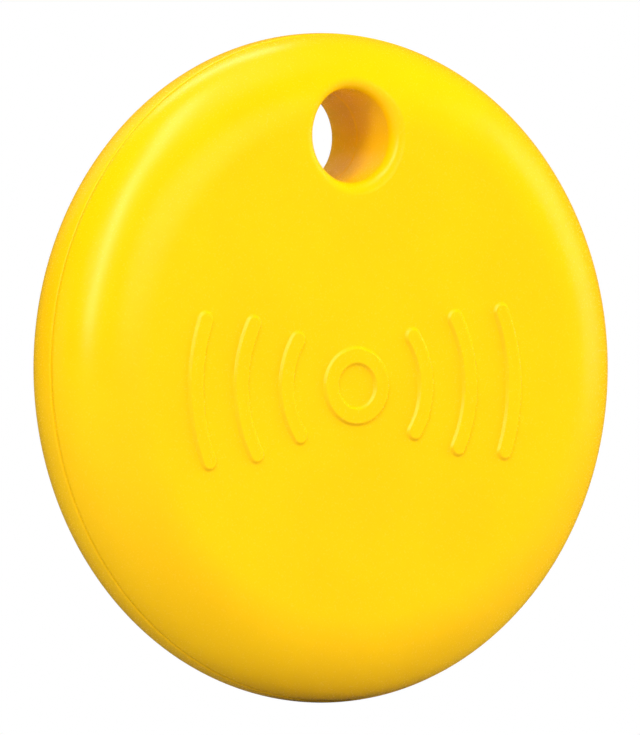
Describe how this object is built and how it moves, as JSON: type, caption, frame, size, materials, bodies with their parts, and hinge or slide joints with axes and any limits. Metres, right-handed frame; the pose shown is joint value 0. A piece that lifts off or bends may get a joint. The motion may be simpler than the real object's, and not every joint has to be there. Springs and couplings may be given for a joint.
{
  "type": "bluetooth tracker tag",
  "caption": "Round key tracker tag with a ring hole near its rim, a pressable front face and a snap-off rear cover over a coin cell.",
  "frame": {"origin": "on the key ring hole's axis, halfway through the case's thickness", "axes": "+Y along the hole's axis and out of the rear cover, so the front face looks along -Y; +Z from the middle of the disc up through the hole; +X to the right as seen from the front"},
  "size_m": [0.0388, 0.0076, 0.0388],
  "materials": {
    "front_shell": "satin",
    "rear_shell": "satin",
    "rim_seal": "matte",
    "hole_seal": "matte",
    "press_pad": "matte",
    "switch_base": "matte",
    "switch_dome": "polished",
    "switch_stem": "matte",
    "switch_cover": "satin",
    "circuit_board": "satin",
    "radio_chip": "matte",
    "buzzer_driver": "matte",
    "boost_inductor": "matte",
    "inductor_core": "matte",
    "main_crystal": "satin",
    "clock_crystal": "satin",
    "antenna": "satin",
    "capacitors": "matte",
    "capacitor_ends": "satin",
    "resistors": "matte",
    "resistor_ends": "satin",
    "cell_frame": "matte",
    "negative_contact": "satin",
    "positive_contact": "satin",
    "cell_can": "satin",
    "cell_gasket": "satin",
    "cell_cap": "satin",
    "cell_cathode": "matte",
    "cell_separator": "matte",
    "cell_anode": "satin",
    "buzzer_adhesive": "matte",
    "buzzer_plate": "satin",
    "buzzer_ceramic": "matte",
    "buzzer_electrode": "satin",
    "buzzer_springs": "satin"
  },
  "bodies": {
    "case": {"front_shell": "front_shell", "rim_seal": "rim_seal", "hole_seal": "hole_seal", "switch_base": "switch_base", "switch_dome": "switch_dome", "switch_cover": "switch_cover", "circuit_board": "circuit_board", "radio_chip": "radio_chip", "buzzer_driver": "buzzer_driver", "boost_inductor": "boost_inductor", "inductor_core": "inductor_core", "main_crystal": "main_crystal", "clock_crystal": "clock_crystal", "antenna": "antenna", "capacitors": "capacitors", "capacitor_ends": "capacitor_ends", "resistors": "resistors", "resistor_ends": "resistor_ends", "cell_frame": "cell_frame", "negative_contact": "negative_contact", "positive_contact": "positive_contact", "buzzer_springs": "buzzer_springs"},
    "button": {"press_pad": "press_pad", "switch_stem": "switch_stem"},
    "cover": {"rear_shell": "rear_shell", "buzzer_adhesive": "buzzer_adhesive", "buzzer_plate": "buzzer_plate", "buzzer_ceramic": "buzzer_ceramic", "buzzer_electrode": "buzzer_electrode"},
    "cell": {"cell_can": "cell_can", "cell_gasket": "cell_gasket", "cell_cap": "cell_cap", "cell_cathode": "cell_cathode", "cell_separator": "cell_separator", "cell_anode": "cell_anode"}
  },
  "joints": [
    {"name": "button_press", "type": "slide", "parent": "case", "child": "button", "axis": [0, 1, 0], "range_m": [0, 0.00015], "stiffness_N_per_m": 4000, "deforming": ["switch_dome"]},
    {"name": "cover_pull", "type": "slide", "parent": "case", "child": "cover", "axis": [0, 1, 0], "range_m": [0, 0.012]},
    {"name": "cell_lift", "type": "slide", "parent": "case", "child": "cell", "axis": [0, 1, 0], "range_m": [0, 0.006]}
  ],
  "couplings": [
    {"joint": "cell_lift", "follows": "cover_pull", "ratio": 0.5}
  ]
}
